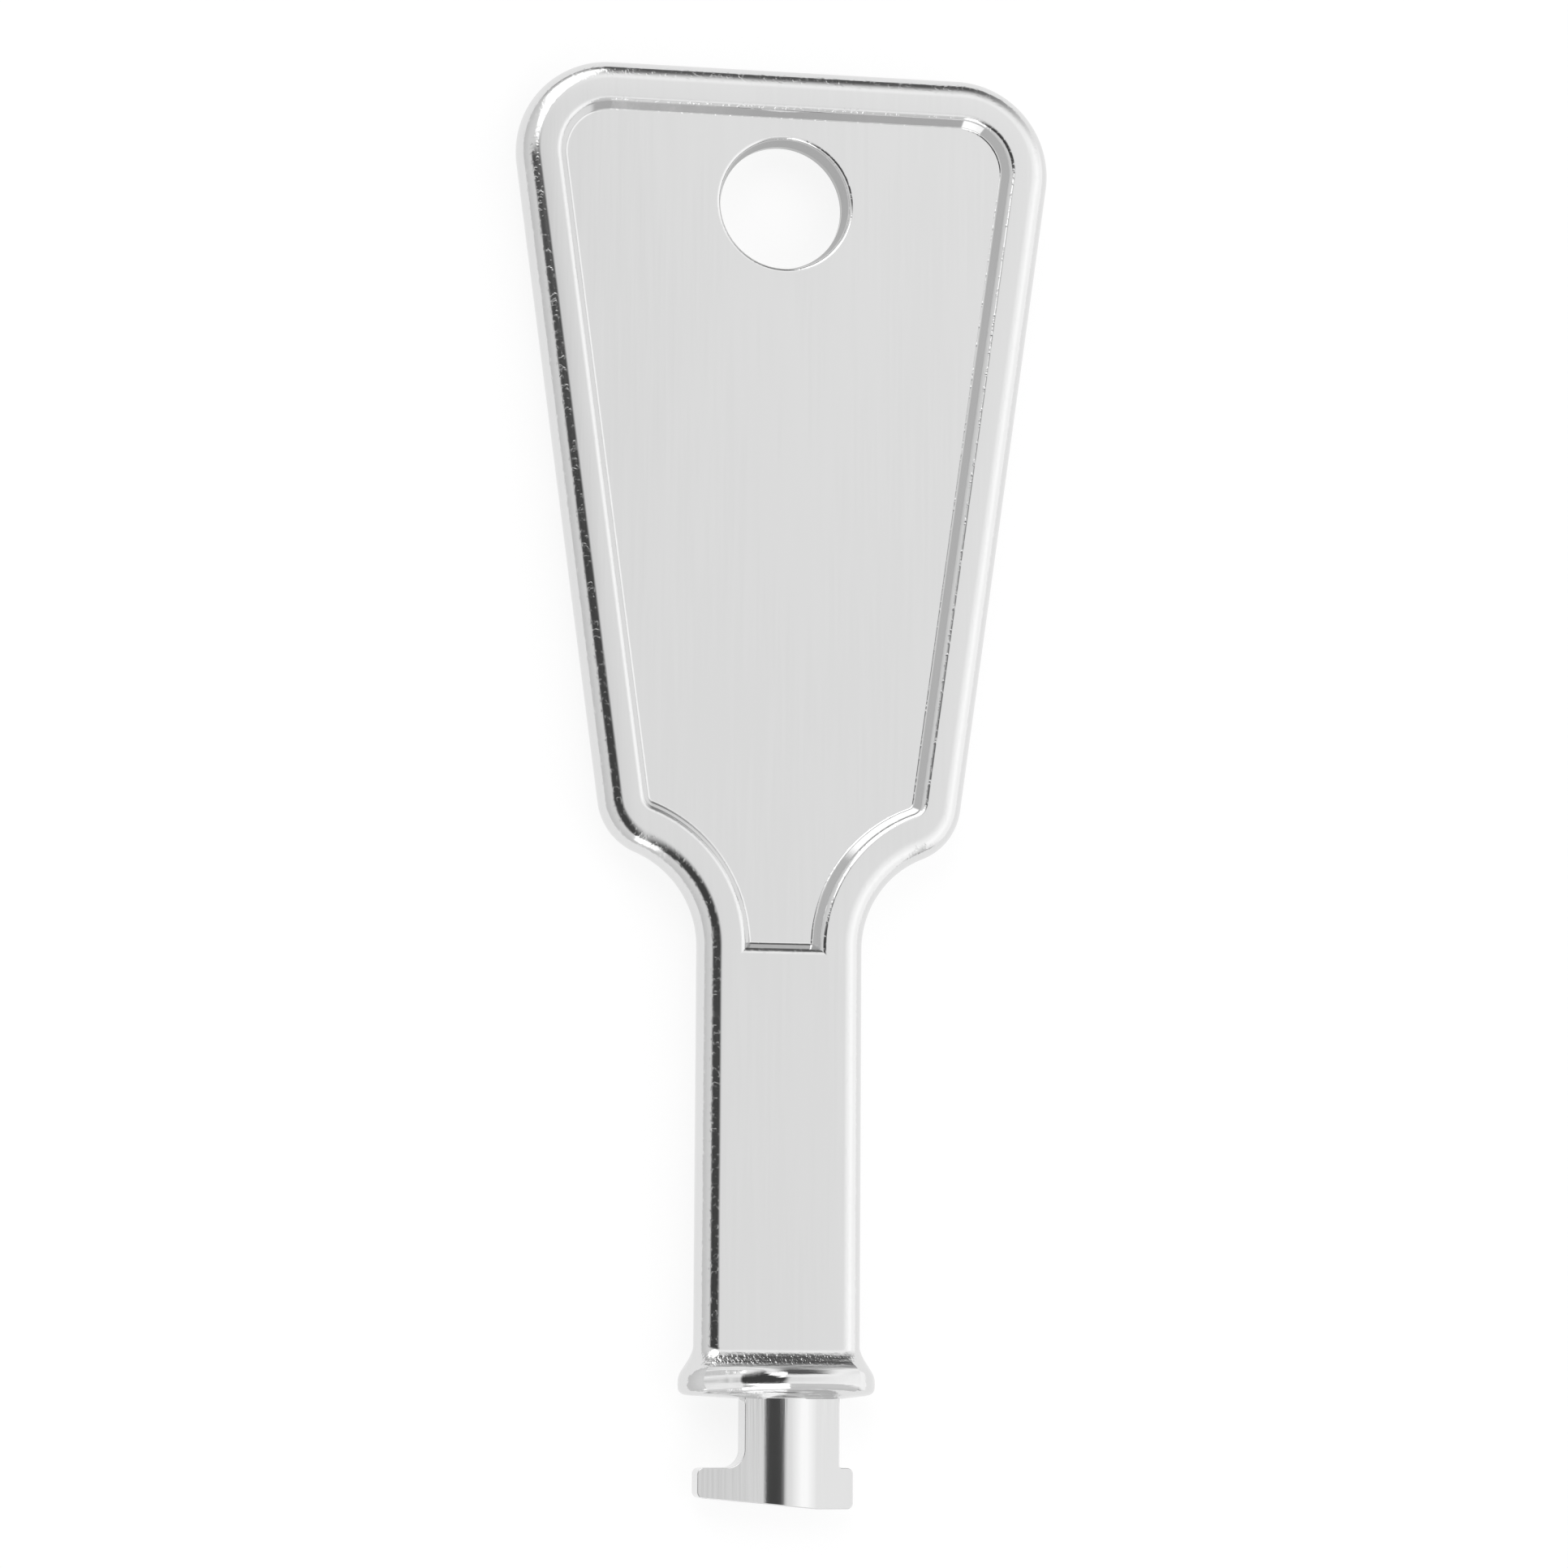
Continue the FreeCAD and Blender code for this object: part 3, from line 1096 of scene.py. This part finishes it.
def with_far_box(graph, light, turn, rise, across, along):
    """Light with the large soft box past the bow, whose left side leans."""
    left_side = graph.ramp(rise, *far_box_lean_rise, *far_box_left_turn)
    past_left = graph.math("SUBTRACT", turn, left_side)
    past_right = graph.math("MULTIPLY_ADD", along, far_box_right_slope, across)
    box = graph.product(
        graph.ramp(past_left, -far_box_left_softness, far_box_left_softness),
        graph.fall(past_right, *far_box_right), graph.between(rise, *far_box_rise))
    return graph.mix(box, light, box_light)


def with_near_box(graph, light, back_turn, rise):
    """Light with the sharp-sided box past the bit, and a shade to the right of it."""
    shade = graph.product(graph.between(back_turn, *shade_turn), graph.fall(rise, *shade_rise))
    light = graph.darker(light, shade, shade_depth)
    box = graph.product(graph.between(back_turn, *near_box_turn),
                        graph.between(rise, *near_box_rise))
    return graph.mix(box, light, box_light)


def with_opening(graph, light, across, along):
    """Light with the dark opening overhead, which is narrower towards the bit."""
    past_right = graph.math("MULTIPLY_ADD", along, opening_right_slope, across)
    past_left = graph.math("MULTIPLY_ADD", along, opening_left_slope, across)
    opening = graph.product(
        graph.fall(past_right, *opening_right), graph.ramp(past_left, *opening_left),
        graph.fall(along, *opening_far), graph.ramp(along, *opening_near))
    return graph.mix(opening, light, opening_light)


def studio():
    """Pale room that the key mirrors, with a plain backdrop where the camera looks past it."""
    world = bpy.data.worlds.new("studio")
    bpy.context.scene.world = world
    world.use_nodes = True
    graph = Graph(world.node_tree)
    turn, back_turn, rise, across, along = directions(graph)
    light = room_light(graph, turn, rise)
    light = with_far_box(graph, light, turn, rise, across, along)
    light = with_near_box(graph, light, back_turn, rise)
    light = with_opening(graph, light, across, along)
    seen = graph.node("ShaderNodeLightPath").outputs["Is Camera Ray"]
    light = graph.mix(seen, light, seen_light)
    background = graph.node("ShaderNodeBackground")
    background.inputs["Color"].default_value = (1, 1, 1, 1)
    graph.join(light, background.inputs["Strength"])
    output = graph.node("ShaderNodeOutputWorld")
    graph.join(background.outputs[0], output.inputs["Surface"])


def make_floor():
    """A square floor just under the key."""
    half = 1.5
    gap = 0.02 * MM
    mesh = bpy.data.meshes.new("floor")
    mesh.from_pydata([(-half, -half, 0), (half, -half, 0), (half, half, 0), (-half, half, 0)],
                     [], [(0, 1, 2, 3)])
    mesh.materials.append(floor_material())
    made = bpy.data.objects.new("floor", mesh)
    bpy.context.scene.collection.objects.link(made)
    made.location.z = cad_low.z - gap


def make_camera():
    """Camera above the key, a little to its left and below its middle.  Angles in radians."""
    swing = 0.2062
    dip = 0.1096
    roll = 0.0059
    distance = 252.6 * MM
    shift = -0.194 * MM
    target = Vector((0, -0.2 * MM, middle_z * MM))
    back = Vector((-math.sin(swing) * math.cos(dip), -math.sin(dip),
                   math.cos(swing) * math.cos(dip)))
    level = Vector((math.cos(swing), 0, math.sin(swing)))
    upright = back.cross(level)
    right = level * math.cos(roll) + upright * math.sin(roll)
    up = upright * math.cos(roll) - level * math.sin(roll)
    data = bpy.data.cameras.new("camera")
    data.lens = 119.7
    data.sensor_width = 36
    data.clip_start = 0.01
    data.clip_end = 10
    camera = bpy.data.objects.new("camera", data)
    bpy.context.scene.collection.objects.link(camera)
    axes = Matrix((right, up, back)).transposed()
    place = target + back * distance - right * shift
    camera.matrix_world = Matrix.Translation(place) @ axes.to_4x4()
    bpy.context.scene.camera = camera


# Handle
handle_shell = Shell()
shank_section = draw_plate(handle_shell)
draw_collar(handle_shell, shank_section)
handle = handle_shell.build(
    "handle", chrome("plated_casting", roughness=0.07, line_microns=0.3, ripple_microns=20,
                     pit_microns=3.5, collar_y=-27.55))
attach(handle, "root")
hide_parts("handle_casting")

# Bit: its plating has no cast skin, since collar_y is past its end
bit_shell = Shell()
draw_bit(bit_shell)
bit = bit_shell.build(
    "bit", chrome("plated_bit", roughness=0.1, line_microns=2.5, ripple_microns=20,
                  pit_microns=0.6, collar_y=-40))
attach(bit, "root")
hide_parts("bit_insert")

# Stage
bpy.context.scene.view_settings.view_transform = "Standard"
studio()
make_floor()
make_camera()
